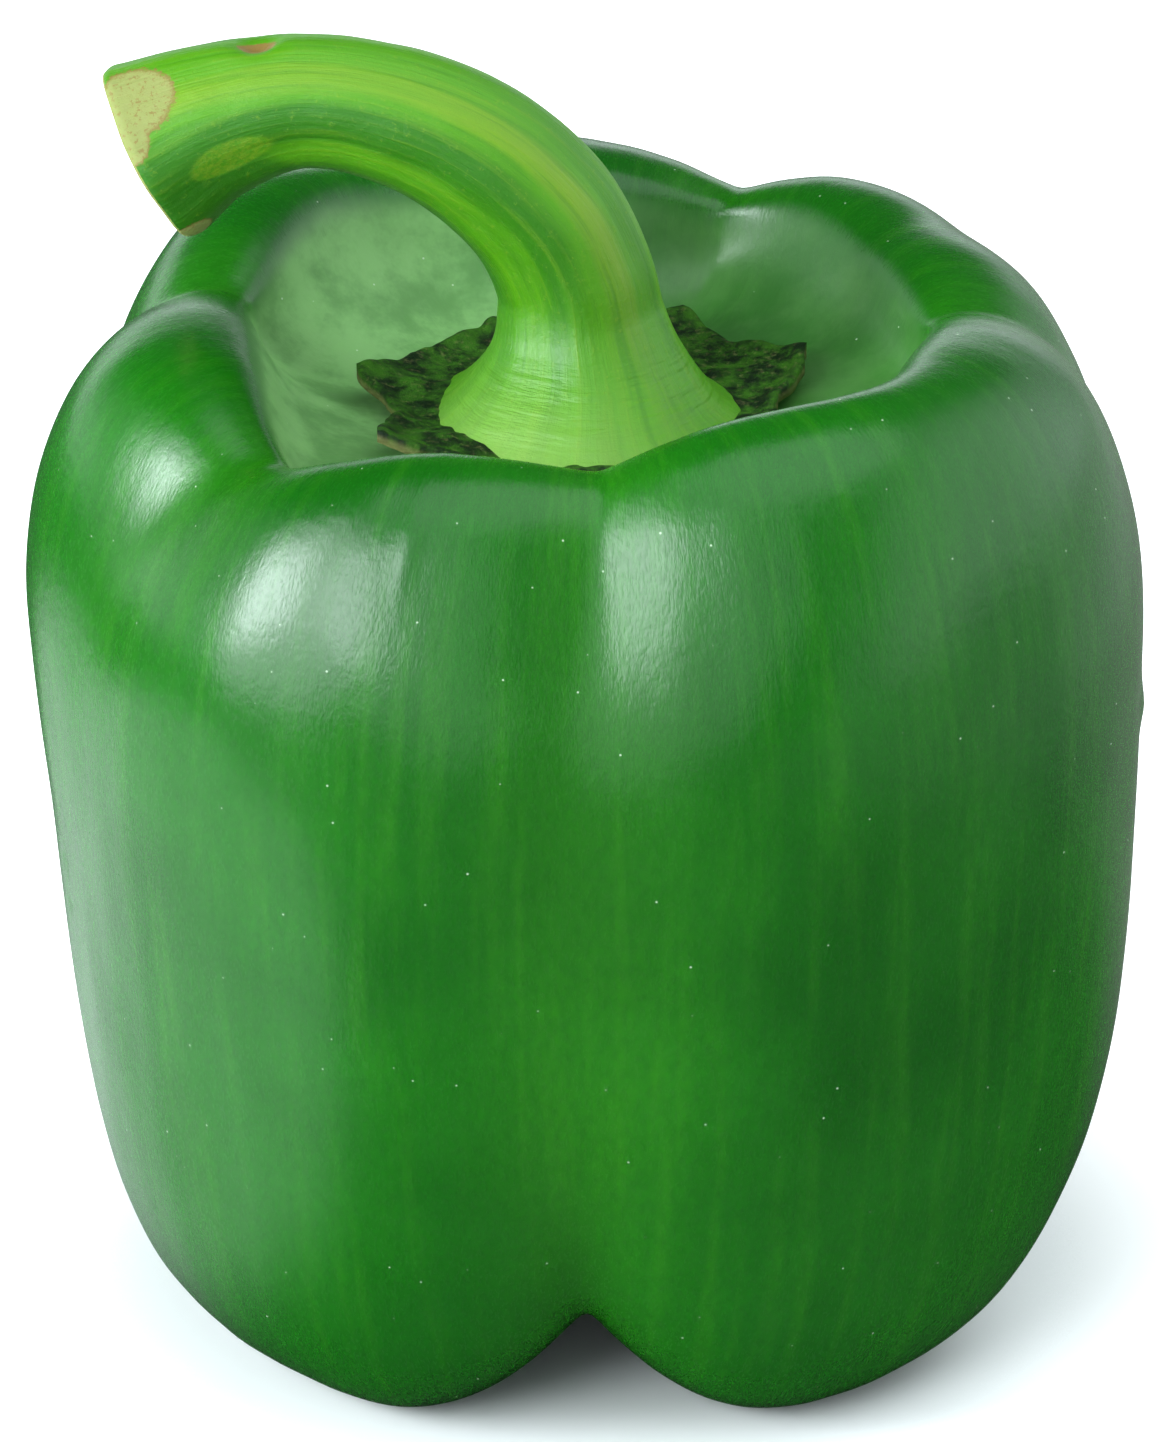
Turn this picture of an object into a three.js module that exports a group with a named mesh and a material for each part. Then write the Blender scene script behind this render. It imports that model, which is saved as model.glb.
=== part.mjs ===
// Green bell pepper standing on its lobes: the fruit, its starry calyx and its bent, cut stem.
// Millimetres, +Z up, origin on the floor under the middle of the bounding box.
import * as THREE from 'three';
import { mergeVertices } from 'three/addons/utils/BufferGeometryUtils.js';

// ---- driving dimensions ----

// How the fruit's section changes round its axis. at: degrees counter-clockwise from +X, seen
// from above. reach: widest radius. top and ridge: height and radius of the rim round the
// stem's hollow. foot: radius of the ring it stands on. taper: how far the wall draws in
// above the foot; a negative one fills it out.
const STATIONS = [
  { at: -100, reach: 42.5, top: 80.6, ridge: 29.5, foot: 22.0, taper: 1.0 },
  { at: -70, reach: 42.7, top: 82.0, ridge: 29.5, foot: 22.0, taper: 0.5 },
  { at: -44, reach: 43.2, top: 82.6, ridge: 33.0, foot: 22.0, taper: 0.2 },
  { at: -18, reach: 43.2, top: 82.4, ridge: 30.0, foot: 21.5, taper: -0.8 },
  { at: 8, reach: 42.6, top: 81.6, ridge: 29.0, foot: 20.5, taper: -0.8 },
  { at: 30, reach: 42.4, top: 82.2, ridge: 29.0, foot: 20.0, taper: -0.3 },
  { at: 55, reach: 42.0, top: 83.0, ridge: 30.5, foot: 19.0, taper: 0.5 },
  { at: 85, reach: 41.5, top: 83.2, ridge: 28.0, foot: 19.0, taper: 0.8 },
  { at: 110, reach: 41.5, top: 83.0, ridge: 28.0, foot: 19.0, taper: 1.0 },
  { at: 135, reach: 42.6, top: 83.3, ridge: 31.5, foot: 20.0, taper: 1.3 },
  { at: 160, reach: 43.0, top: 82.6, ridge: 30.0, foot: 20.5, taper: 1.2 },
  { at: 180, reach: 42.2, top: 81.4, ridge: 29.0, foot: 20.5, taper: 0.9 },
  { at: 200, reach: 42.7, top: 80.6, ridge: 30.0, foot: 20.0, taper: 0.9 },
  { at: 220, reach: 43.3, top: 78.9, ridge: 33.5, foot: 20.5, taper: 1.6 },
  { at: 240, reach: 43.0, top: 78.9, ridge: 31.5, foot: 21.0, taper: 1.3 },
];
const STATION_SPREAD = 17;

// The furrows between the lobes. at: degrees at the rim. lean: degrees the furrow has turned
// by the time it reaches the foot. depth and low: its strength at the rim and at the foot.
// width: degrees from its middle to its edge. blunt: 0 is a sharp furrow.
const FURROWS = [
  { at: -88, lean: -2, depth: 0.75, low: 1.0, width: 34, blunt: 0.03 },
  { at: 5, lean: 0, depth: 0.9, low: 0.6, width: 36, blunt: 0.05 },
  { at: 34, lean: 0, depth: 0.35, low: 0.1, width: 24, blunt: 0.15 },
  { at: 67, lean: 0, depth: 1.0, low: 0.9, width: 34, blunt: 0.05 },
  { at: 118, lean: 0, depth: 0.3, low: 0.1, width: 30, blunt: 0.2 },
  { at: 164, lean: 4, depth: 1.1, low: 0.5, width: 30, blunt: 0.05 },
  { at: 226, lean: -40, depth: 1.0, low: 0.0, width: 26, blunt: 0.15 },
];
const BLUNT_AT_WAIST = 0.18; // added to blunt halfway up the wall

// Shares of the way along the section, from the blossom scar to the stem.
const RIM_AT = 0.78;
const FOOT_AT = 0.23;
const WAIST_FROM = 0.22;
const WAIST_TO = 0.72;

const WALL_HEIGHTS = [12, 26, 40, 54, 66]; // of the section's points up the wall
const NAVEL_HEIGHT = 9.5; // hollow under the fruit, at its blossom scar
const FOOT_SINK = 1.0; // how far the feet would bulge below the floor; they are flattened
const HOLLOW_FLOOR = 71.8; // bottom of the stem's hollow
const HOLLOW_RADIUS = 19; // of that bottom

// What a furrow of full strength adds to the section, radius and height at each of its points,
// from the blossom scar, up the wall, over the rim and down to the stem.
const FURROW_SHIFTS = [
  [0, 0], [0, 0], [0, 5], [-1, 10], [-3, 9], [-4.2, 5.5], [-3, 1.5], [-2.2, 0], [-2.6, 0],
  [-3.4, -1], [-3.6, -2.6], [-2, -3.5], [0.2, -3.5], [2.6, -2.6], [1.8, -0.6], [0, 0], [0, 0],
];

// The two front lobes bulge lower than the others: at full strength the section's points from
// BELLY_FIRST on move this much, radius and height.
const BELLY_MOVES = [[0.8, 0], [-0.1, 0], [-2.4, -2.0], [-2.6, -4.2], [-0.8, -1.2]];
const BELLY_FIRST = 7;
const BELLY_AT = -90;
const BELLY_WIDTH = 42;

const CALYX_RADIUS = 14.6; // between its points
const CALYX_POINTS = [
  { at: 20, reach: 18.4 }, { at: 64, reach: 18.4 }, { at: 118, reach: 17.2 },
  { at: 172, reach: 17.6 }, { at: 218, reach: 18.6 }, { at: 264, reach: 16.5 },
  { at: 312, reach: 17.5 },
];
const CALYX_POINT_WIDTH = 24; // degrees from a point's tip to its foot
const CALYX_POINT_SHARPNESS = 1.4;
const CALYX_UNDERSIDE = HOLLOW_FLOOR + 0.55;
const CALYX_CURL = 2.3; // rise of its margin, which follows the hollow up
const CALYX_THICKNESS = 1.4;
const CALYX_MARGIN = 0.5; // thickness at the margin

// The stem's centre line and radius, from its flared root to the cut end.
const STEM_RINGS = [
  { x: -0.2, y: -1.6, z: 74.1, radius: 11.4 }, { x: -0.2, y: -1.6, z: 75.6, radius: 9.0 },
  { x: -0.1, y: -0.8, z: 77.6, radius: 7.4 }, { x: -0.5, y: -0.2, z: 80.2, radius: 6.3 },
  { x: -1.1, y: 0.0, z: 83.6, radius: 5.9 }, { x: -3.4, y: 0.0, z: 88.3, radius: 5.8 },
  { x: -8.0, y: 0.0, z: 92.8, radius: 5.6 }, { x: -14.0, y: 0.0, z: 95.8, radius: 5.2 },
  { x: -21.0, y: 0.0, z: 97.0, radius: 5.0 }, { x: -27.5, y: 0.0, z: 95.5, radius: 5.8 },
  { x: -32.6, y: 0.0, z: 92.9, radius: 7.2 },
];
const CUT_BULGE = 0.9; // the cut end is a little domed
const CUT_RING = { fill: 0.75, bulge: 0.6 }; // a ring on it, as shares of its radius and rise

const GRID = {
  fruit: { columns: 72, rows: 38 },
  calyx: { columns: 56, rows: 10 },
  stem: { columns: 20, rows: 24 },
};

// ---- helpers ----

const { clamp, degToRad, euclideanModulo, lerp, smoothstep } = THREE.MathUtils;

function turnBetween(a, b) {
  return euclideanModulo(a - b + 180, 360) - 180;
}

// A closed skin: a sphere's grid with every point moved to place(turn, drop). turn runs round
// the axis and drop runs from the top pole to the bottom pole, both from 0 to 1.
function closedSkin({ columns, rows }, place) {
  const geometry = new THREE.SphereGeometry(1, columns, rows);
  geometry.deleteAttribute('normal');
  geometry.deleteAttribute('uv');
  const position = geometry.getAttribute('position');
  for (let row = 0; row <= rows; row += 1) {
    for (let column = 0; column <= columns; column += 1) {
      const point = place((column % columns) / columns, row / rows);
      position.setXYZ(row * (columns + 1) + column, point.x, point.y, point.z);
    }
  }
  return mergeVertices(geometry, 1e-3);
}

// Uniform cubic B-spline along [radius, height] points that starts and ends on the axis.
function splinePoint(points, along) {
  const last = points.length - 1;
  const span = Math.min(Math.floor(along * last), last - 1);
  const f = along * last - span;
  const weights = [
    (1 - f) ** 3, 3 * f ** 3 - 6 * f ** 2 + 4, -3 * f ** 3 + 3 * f ** 2 + 3 * f + 1, f ** 3,
  ];
  const mirrored = ([radius, height]) => [-radius, height];
  const all = [mirrored(points[1]), ...points, mirrored(points[last - 1])];
  const sum = (axis) => weights.reduce((total, w, i) => total + w * all[span + i][axis], 0) / 6;
  return [sum(0), sum(1)];
}

// ---- fruit ----

function stationAt(angle) {
  const blend = { reach: 0, top: 0, ridge: 0, foot: 0, taper: 0 };
  let total = 0;
  for (const station of STATIONS) {
    const weight = Math.exp(-((turnBetween(angle, station.at) / STATION_SPREAD) ** 2));
    for (const key of Object.keys(blend)) blend[key] += weight * station[key];
    total += weight;
  }
  for (const key of Object.keys(blend)) blend[key] /= total;
  return blend;
}

// The section of a lobe at an angle, from the blossom scar to the stem.
function lobeSection(angle) {
  const { reach, top, ridge, foot, taper } = stationAt(angle);
  const shoulder = reach - ridge;
  const flank = reach - foot;
  const [low, belowWaist, waist, aboveWaist, high] = WALL_HEIGHTS;
  const section = [
    [0, NAVEL_HEIGHT],
    [0.42 * foot, 0.8 * NAVEL_HEIGHT],
    [0.75 * foot, 0.15 * NAVEL_HEIGHT - FOOT_SINK],
    [1.02 * foot, -FOOT_SINK - 0.6],
    [foot + 0.53 * flank, 1.8 - FOOT_SINK],
    [foot + 0.83 * flank - 0.5 * taper, low],
    [reach - 1.2 - taper, belowWaist],
    [reach - 0.4 - 0.7 * taper, waist],
    [reach + 0.4, aboveWaist],
    [reach + 0.9, high],
    [ridge + 0.78 * shoulder, top - 4.2],
    [ridge + 0.28 * shoulder, top + 0.8],
    [ridge - 4.2, top + 0.7],
    [ridge - 6.0, top - 5.0],
    [HOLLOW_RADIUS, HOLLOW_FLOOR + 1.2],
    [HOLLOW_RADIUS - 7, HOLLOW_FLOOR],
    [0, HOLLOW_FLOOR],
  ];
  const belly = Math.exp(-((turnBetween(angle, BELLY_AT) / BELLY_WIDTH) ** 2));
  for (const [i, [outward, upward]] of BELLY_MOVES.entries()) {
    section[BELLY_FIRST + i][0] += belly * outward;
    section[BELLY_FIRST + i][1] += belly * upward;
  }
  return section;
}

// How strongly the furrows cut in at an angle, along the section from the scar to the stem.
function furrowStrength(angle, along) {
  const run = RIM_AT - FOOT_AT;
  const turn = clamp((RIM_AT - along) / run, 0, 1);
  const low = smoothstep(RIM_AT - along, 0, run);
  const up = clamp((along - WAIST_FROM) / (WAIST_TO - WAIST_FROM), 0, 1);
  const waist = Math.sin(Math.PI * up) ** 2;
  let strength = 0;
  for (const furrow of FURROWS) {
    const away = Math.abs(turnBetween(angle, furrow.at + furrow.lean * turn)) / furrow.width;
    const blunt = furrow.blunt + BLUNT_AT_WAIST * waist;
    const out = (Math.hypot(away, blunt) - blunt) / (Math.hypot(1, blunt) - blunt);
    strength += lerp(furrow.depth, furrow.low, low) * Math.max(0, 1 - out) ** 2;
  }
  return strength;
}

function fruitPoint(turn, drop) {
  const angle = 360 * turn;
  const along = 1 - drop;
  const [lobeRadius, lobeHeight] = splinePoint(lobeSection(angle), along);
  const [inward, upward] = splinePoint(FURROW_SHIFTS, along);
  const strength = furrowStrength(angle, along);
  const radius = lobeRadius + strength * inward;
  const height = Math.max(0, lobeHeight + strength * upward);
  const a = degToRad(angle);
  return new THREE.Vector3(radius * Math.cos(a), radius * Math.sin(a), height);
}

// ---- calyx ----

function calyxReach(angle) {
  let reach = CALYX_RADIUS;
  for (const point of CALYX_POINTS) {
    const near = 1 - Math.abs(turnBetween(angle, point.at)) / CALYX_POINT_WIDTH;
    reach += (point.reach - CALYX_RADIUS) * Math.max(0, near) ** CALYX_POINT_SHARPNESS;
  }
  return reach;
}

// A thin star that lies in the hollow: out over its top, then back in underneath.
function calyxPoint(turn, drop) {
  const a = degToRad(360 * turn);
  const out = drop < 0.5 ? 2 * drop : 2 - 2 * drop;
  const radius = calyxReach(360 * turn) * out;
  const underside = CALYX_UNDERSIDE + CALYX_CURL * (radius / HOLLOW_RADIUS) ** 4;
  const thickness = drop > 0.5 ? 0 : lerp(CALYX_THICKNESS, CALYX_MARGIN, out ** 2);
  const height = underside + thickness;
  return new THREE.Vector3(radius * Math.cos(a), radius * Math.sin(a), height);
}

// ---- stem ----

const stemLine = new THREE.CatmullRomCurve3(
  STEM_RINGS.map(({ x, y, z }) => new THREE.Vector3(x, y, z)),
);
const stemRadii = new THREE.SplineCurve(
  STEM_RINGS.map(({ radius }, i) => new THREE.Vector2(i, radius)),
);

// Rings along the centre line, closed by a flat root and a slightly domed cut end.
function stemPoint(turn, drop) {
  const rows = GRID.stem.rows;
  const row = Math.round(drop * rows);
  const along = clamp((rows - row - 1) / (rows - 3), 0, 1);
  const centre = stemLine.getPoint(along);
  const tangent = stemLine.getTangent(along).setY(0).normalize();
  const radiusHere = stemRadii.getPoint(along).y;
  const side = new THREE.Vector3(0, 1, 0);
  const across = new THREE.Vector3().crossVectors(side, tangent);
  const fill = { 0: 0, 1: CUT_RING.fill, [rows]: 0 }[row] ?? 1;
  const bulge = { 0: CUT_BULGE, 1: CUT_RING.bulge * CUT_BULGE }[row] ?? 0;
  const a = degToRad(360 * turn);
  return centre
    .addScaledVector(across, fill * radiusHere * Math.cos(a))
    .addScaledVector(side, fill * radiusHere * Math.sin(a))
    .addScaledVector(tangent, bulge);
}

// ---- assembly ----

const MATERIALS = {
  fruit: new THREE.MeshStandardMaterial({ color: 0x1f6b1c, roughness: 0.3, metalness: 0 }),
  calyx: new THREE.MeshStandardMaterial({ color: 0x45502a, roughness: 0.75, metalness: 0 }),
  stem: new THREE.MeshStandardMaterial({ color: 0x6f9a35, roughness: 0.5, metalness: 0 }),
};

function piece(name, place) {
  const mesh = new THREE.Mesh(closedSkin(GRID[name], place), MATERIALS[name]);
  mesh.name = name;
  return mesh;
}

const pepper = new THREE.Group();
pepper.add(piece('fruit', fruitPoint), piece('calyx', calyxPoint), piece('stem', stemPoint));

const middle = new THREE.Box3().setFromObject(pepper).getCenter(new THREE.Vector3());
pepper.position.set(-middle.x, -middle.y, 0);
pepper.updateMatrixWorld(true);

export default pepper;
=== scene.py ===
"""Looks of a green bell pepper around its CAD frame: fruit, calyx, stem, floor, light, camera.

Lengths in the shape formulas are millimetres, like the CAD's, and meshes are made in metres.
Angles are degrees counter-clockwise from +X, seen from above. "along" runs from 0 to 1 along a
section of the fruit, from the blossom scar under it to the stem, or along the stem from its root.
"""
import math

import bpy
import numpy as np
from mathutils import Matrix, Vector, noise


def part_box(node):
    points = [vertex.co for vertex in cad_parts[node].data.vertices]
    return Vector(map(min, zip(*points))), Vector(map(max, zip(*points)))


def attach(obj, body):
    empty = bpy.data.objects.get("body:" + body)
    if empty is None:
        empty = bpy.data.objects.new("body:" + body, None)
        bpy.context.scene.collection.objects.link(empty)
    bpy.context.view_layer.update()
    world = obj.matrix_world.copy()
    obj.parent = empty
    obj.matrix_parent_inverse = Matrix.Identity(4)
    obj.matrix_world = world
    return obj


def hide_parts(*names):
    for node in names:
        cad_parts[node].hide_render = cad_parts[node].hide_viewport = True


MM = 0.001

# ---- the fruit's driving dimensions, the same as the CAD's ----

# at, reach, top, ridge, foot, taper: how the section changes round the axis
STATIONS = np.array([
    (-100, 42.5, 80.6, 29.5, 22.0, 1.0),
    (-70, 42.7, 82.0, 29.5, 22.0, 0.5),
    (-44, 43.2, 82.6, 33.0, 22.0, 0.2),
    (-18, 43.2, 82.4, 30.0, 21.5, -0.8),
    (8, 42.6, 81.6, 29.0, 20.5, -0.8),
    (30, 42.4, 82.2, 29.0, 20.0, -0.3),
    (55, 42.0, 83.0, 30.5, 19.0, 0.5),
    (85, 41.5, 83.2, 28.0, 19.0, 0.8),
    (110, 41.5, 83.0, 28.0, 19.0, 1.0),
    (135, 42.6, 83.3, 31.5, 20.0, 1.3),
    (160, 43.0, 82.6, 30.0, 20.5, 1.2),
    (180, 42.2, 81.4, 29.0, 20.5, 0.9),
    (200, 42.7, 80.6, 30.0, 20.0, 0.9),
    (220, 43.3, 78.9, 33.5, 20.5, 1.6),
    (240, 43.0, 78.9, 31.5, 21.0, 1.3),
])
STATION_SPREAD = 17

# at, lean, depth, low, width, blunt: the furrows between the lobes
FURROWS = [
    (-88, -2, 0.75, 1.0, 34, 0.03),
    (5, 0, 0.9, 0.6, 36, 0.05),
    (34, 0, 0.35, 0.1, 24, 0.15),
    (67, 0, 1.0, 0.9, 34, 0.05),
    (118, 0, 0.3, 0.1, 30, 0.2),
    (164, 4, 1.1, 0.5, 30, 0.05),
    (226, -40, 1.0, 0.0, 26, 0.15),
]
BLUNT_AT_WAIST = 0.18

# places along the section
RIM_AT = 0.78
FOOT_AT = 0.23
WAIST_FROM = 0.22
WAIST_TO = 0.72

WALL_HEIGHTS = [12, 26, 40, 54, 66]
NAVEL_HEIGHT = 9.5
FOOT_SINK = 1.0
FOOT_ROUNDING = 0.3  # how softly the feet are flattened on the floor
HOLLOW_FLOOR = 71.8
HOLLOW_RADIUS = 19

# radius and height that a furrow of full strength adds to each point of the section
FURROW_SHIFTS = [
    (0, 0), (0, 0), (0, 5), (-1, 10), (-3, 9), (-4.2, 5.5), (-3, 1.5), (-2.2, 0), (-2.6, 0),
    (-3.4, -1), (-3.6, -2.6), (-2, -3.5), (0.2, -3.5), (2.6, -2.6), (1.8, -0.6), (0, 0), (0, 0),
]

# the front lobes bulge lower than the others: how far their section's upper points move
BELLY_AT = -90
BELLY_WIDTH = 42
BELLY_MOVES = [(0.8, 0), (-0.1, 0), (-2.4, -2.0), (-2.6, -4.2), (-0.8, -1.2)]
BELLY_FIRST = 7

# ---- the fruit's fine relief ----

LUMPS = [(0.22, 22, 1), (0.07, 7, 2)]  # height, size across and seed
RIB_HEIGHT = 0.035
RIBS_FADE_IN = (0.12, 0.3)  # along the section, above the foot
RIBS_FADE_OUT = (0.68, 0.8)  # below the rim
# angle, height, size across, size up, rise: small bumps (+) and nicks (-) in the wall
WALL_MARKS = [
    (-111, 75.5, 0.7, 3.2, 0.12),
    (-166, 39.5, 0.9, 1.2, -0.25),
    (-165, 36.0, 0.7, 1.0, -0.2),
    (-56, 29.0, 1.6, 1.8, 0.22),
    (-12, 52.0, 1.5, 1.6, 0.3),
]
WALL_RADIUS = 20  # the marks are only on skin that is farther out than this
UNDERSIDE_TO = 0.15
SCAR_PIT = (0.9, 1.5)  # the blossom scar: depth and radius of its pit
SCAR_RING = (0.5, 3.0, 0.9)  # height, radius and width of the low ring round it

# painted reflection: the sunken top round the stem gets a pale haze that stands in for reflected
# light, strongest round this angle and less so elsewhere
REFLECTION_AT = 165
REFLECTION_FADE = (45, 75)
REFLECTION_ELSEWHERE = 0.3
HOLLOW_FADE_IN = (0.755, 0.79)

FRUIT_GRAIN = 42  # radius at which the grain coordinates run round the fruit
FRUIT_COLUMNS = 480
FRUIT_ROWS = 340

# ---- the calyx ----

CALYX_RADIUS = 14.6
CALYX_POINTS = [  # angle and reach
    (20, 18.0), (64, 17.0), (118, 15.4), (172, 17.4), (220, 20.4), (264, 16.5), (312, 17.5),
]
CALYX_POINT_WIDTH = 24
CALYX_POINT_SHARPNESS = 1.2
CALYX_UNDERSIDE = HOLLOW_FLOOR + 0.55
CALYX_CURL = 2.3
CALYX_DROOP = 0.9  # how much less the front of it curls up
CALYX_THICKNESS = 1.4
CALYX_MARGIN = 0.5
CALYX_WRINKLES = [(0.35, 2.6, 5), (0.15, 1.1, 6)]  # height, size across and seed
CALYX_VEIN = 0.3
CALYX_LIP = (0.45, 0.97, 0.05)  # height, place and width, as shares of the radius
CALYX_COLUMNS = 360
CALYX_ROWS = 90

# ---- the stem: x, y, z and radius of its rings, from the flared root to the cut end ----

STEM_RINGS = np.array([
    (-0.2, -1.9, 72.4, 13.0), (-0.2, -1.9, 74.4, 10.0), (-0.1, -0.9, 77.0, 7.7),
    (-0.5, -0.2, 80.2, 6.3), (-1.1, 0.0, 83.6, 5.9), (-3.4, 0.0, 88.3, 5.8),
    (-8.0, 0.0, 92.8, 5.6), (-14.0, 0.0, 95.8, 5.2), (-21.0, 0.0, 97.0, 5.0),
    (-27.5, 0.0, 95.5, 5.8), (-32.6, 0.0, 92.9, 7.2),
])
UPRIGHT_FADE = (76, 84)  # heights between which the rings stop lying level
ROOT_REACH = 5.0  # how far up the root's flutes fade out
CUT_BULGE = 0.9
CUT_EDGE_ROWS = 6
CUT_EDGE_ROUND = 0.35
CUT_ROWS = 14
STEM_LUMPS = (0.06, 3.0, 8)  # height, size across and seed
NICK = (10.0, -7)  # millimetres from the cut end, turn
NICK_DEPTH = 0.9
NICK_LENGTH = 1.1

# places on the stem: turns round it are degrees from its upper side, negative towards the front
LIGHT_BAND = (-52, 17)  # turn and width
SHADE_BAND = (-88, 19)
BANDS_FADE_IN = (-48, -34)  # millimetres from the cut end
# millimetres from the cut end over which the underside's painted shade spreads further round the
# stem
TIP_FADE_IN = (-13, -6)
NECK_FROM_CUT = 46
CORKY_SPOTS = [((-38, 2.0), 4.2), ((-62, 0.4), 2.6), ((-150, 0.6), 2.4)]  # place and size
# painted highlight: a pale frosty patch on the flared root
ROOT_HIGHLIGHT_SPOT = ((-122, 51), 9)
PALE_OVAL = ((-104, 6.6), 2.1)
OVAL_SQUEEZE = 0.42  # the oval's width as a share of its length

STEM_GRAIN = 6  # radius at which the grain coordinates run round the stem
STEM_COLUMNS = 160
STEM_ROWS = 300

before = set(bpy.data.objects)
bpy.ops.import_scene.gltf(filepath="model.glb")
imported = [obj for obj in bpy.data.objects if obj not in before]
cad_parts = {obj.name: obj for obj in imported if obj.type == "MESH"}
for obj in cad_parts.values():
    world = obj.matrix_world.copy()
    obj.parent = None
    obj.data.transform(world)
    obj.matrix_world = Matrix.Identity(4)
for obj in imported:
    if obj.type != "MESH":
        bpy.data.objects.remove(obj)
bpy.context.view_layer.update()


# ---- shape helpers ----

def turn_between(a, b):
    return (a - b + 180) % 360 - 180


def even_turns(columns):
    return np.linspace(-180, 180, columns, endpoint=False)


def spline_weights(f):
    """Uniform cubic B-spline weights at a fraction f of a span."""
    return np.array([
        (1 - f) ** 3, 3 * f**3 - 6 * f**2 + 4, -3 * f**3 + 3 * f**2 + 3 * f + 1, f**3,
    ]) / 6


def axis_spline(points, along):
    """Spline along (radius, height) points that starts and ends on the axis.

    points is (n, 2, columns); the result is (2, rows, columns)."""
    mirror = np.array([[-1.0], [1.0]])
    points = np.concatenate([[points[1] * mirror], points, [points[-2] * mirror]])
    last = len(points) - 3
    span = np.clip(np.floor(along * last).astype(int), 0, last - 1)
    weights = spline_weights(along * last - span)
    return sum(w[None, :, None] * points[span + k].transpose(1, 0, 2)
               for k, w in enumerate(weights))


def catmull_rom(rings, along):
    """Smooth curve through the rows of rings."""
    padded = np.vstack([2 * rings[0] - rings[1], rings, 2 * rings[-1] - rings[-2]])
    last = len(rings) - 1
    span = np.clip(np.floor(along * last).astype(int), 0, last - 1)
    f = (along * last - span)[:, None]
    a, b, c, d = (padded[span + k] for k in range(4))
    return 0.5 * (2 * b + (c - a) * f + (2 * a - 5 * b + 4 * c - d) * f**2
                  + (3 * b - a - 3 * c + d) * f**3)


def smooth_step(x, low, high):
    x = np.clip((x - low) / (high - low), 0, 1)
    return x * x * (3 - 2 * x)


def bump_at(distance, radius):
    return np.exp(-((distance / radius) ** 2))


def unit_rows(vectors):
    return vectors / np.linalg.norm(vectors, axis=1, keepdims=True)


def arc_length(steps):
    """Length so far at each point, from the lengths of the steps between them."""
    return np.concatenate([[0], np.cumsum(steps)])


def normals_of(points):
    """Outward unit normals of a (rows, columns, 3) grid of rings that starts at its bottom."""
    upward = np.gradient(points, axis=0)
    sideways = np.roll(points, -1, axis=1) - np.roll(points, 1, axis=1)
    n = np.cross(sideways, upward)
    return n / (np.linalg.norm(n, axis=-1, keepdims=True) + 1e-12)


def smooth_noise(points, height, size, seed):
    """Perlin noise of about plus or minus height at grid points; features are size across."""
    flat = points.reshape(-1, 3) / size + seed * 17.3
    values = [noise.noise(Vector(p)) for p in flat]
    return height * np.array(values).reshape(points.shape[:-1])


def all_broadcast(*parts):
    """Coordinates that share one grid, as a (rows, columns, 3) array."""
    return np.stack(np.broadcast_arrays(*parts), axis=-1)


def grid_faces(rows, columns):
    """Faces of a grid of rings between two pole vertices, wound to face out."""
    faces = []
    ring = 1 + np.arange((rows - 2) * columns).reshape(rows - 2, columns)
    after = np.roll(ring, -1, axis=1)
    quads = np.stack([ring[:-1], after[:-1], after[1:], ring[1:]], axis=-1)
    faces.extend(quads.reshape(-1, 4).tolist())
    first, last = 0, 1 + ring.size
    faces.extend([first, b, a] for a, b in zip(ring[0].tolist(), after[0].tolist()))
    faces.extend([last, a, b] for a, b in zip(ring[-1].tolist(), after[-1].tolist()))
    return faces


def in_mesh_order(grid):
    """A grid's values for the mesh's vertices: one for each pole and one for each ring point."""
    return np.concatenate([grid[:1, 0], grid[1:-1].reshape(-1, *grid.shape[2:]), grid[-1:, 0]])


def skin_object(name, points, facts):
    """A closed mesh from a (rows, columns, 3) grid in millimetres; facts become attributes."""
    rows, columns = points.shape[:2]
    mesh = bpy.data.meshes.new(name)
    vertices = in_mesh_order(points) * MM
    mesh.from_pydata(vertices.tolist(), [], grid_faces(rows, columns))
    for key, values in facts.items():
        flat = in_mesh_order(values).astype(np.float32)
        kind, field = ("FLOAT", "value") if flat.ndim == 1 else ("FLOAT_VECTOR", "vector")
        layer = mesh.attributes.new(key, kind, "POINT")
        layer.data.foreach_set(field, flat.ravel())
    mesh.shade_smooth()
    return in_scene(name, mesh)


def in_scene(name, data):
    made = bpy.data.objects.new(name, data)
    bpy.context.scene.collection.objects.link(made)
    return made


# ---- fruit ----

def blended_stations(angle):
    away = turn_between(angle[None, :], STATIONS[:, :1])
    weight = np.exp(-((away / STATION_SPREAD) ** 2))
    weight /= weight.sum(0)
    return STATIONS[:, 1:].T @ weight


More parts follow.
